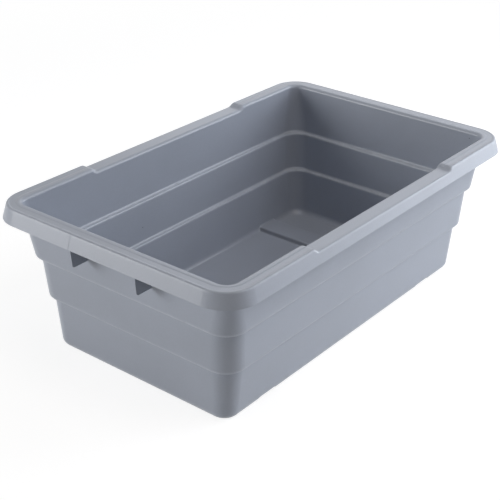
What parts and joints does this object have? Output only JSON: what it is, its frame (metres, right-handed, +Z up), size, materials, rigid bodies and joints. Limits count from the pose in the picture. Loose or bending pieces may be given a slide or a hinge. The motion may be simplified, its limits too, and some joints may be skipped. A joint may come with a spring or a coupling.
{
  "type": "bus tub",
  "caption": "Deep stepped plastic bus tub with a broad skirted rim, lowered along both long sides, and channels under the base so that crossed tubs stack.",
  "frame": {"origin": "middle of the base, on the plane that the tub stands on", "axes": "+X along the length, +Y across the width, +Z up; the tub mirrors across both XZ and YZ"},
  "size_m": [0.638, 0.406, 0.215],
  "materials": {
    "grey_plastic": "satin, as moulded"
  },
  "bodies": {
    "root": {"tub": "grey_plastic"}
  },
  "joints": []
}
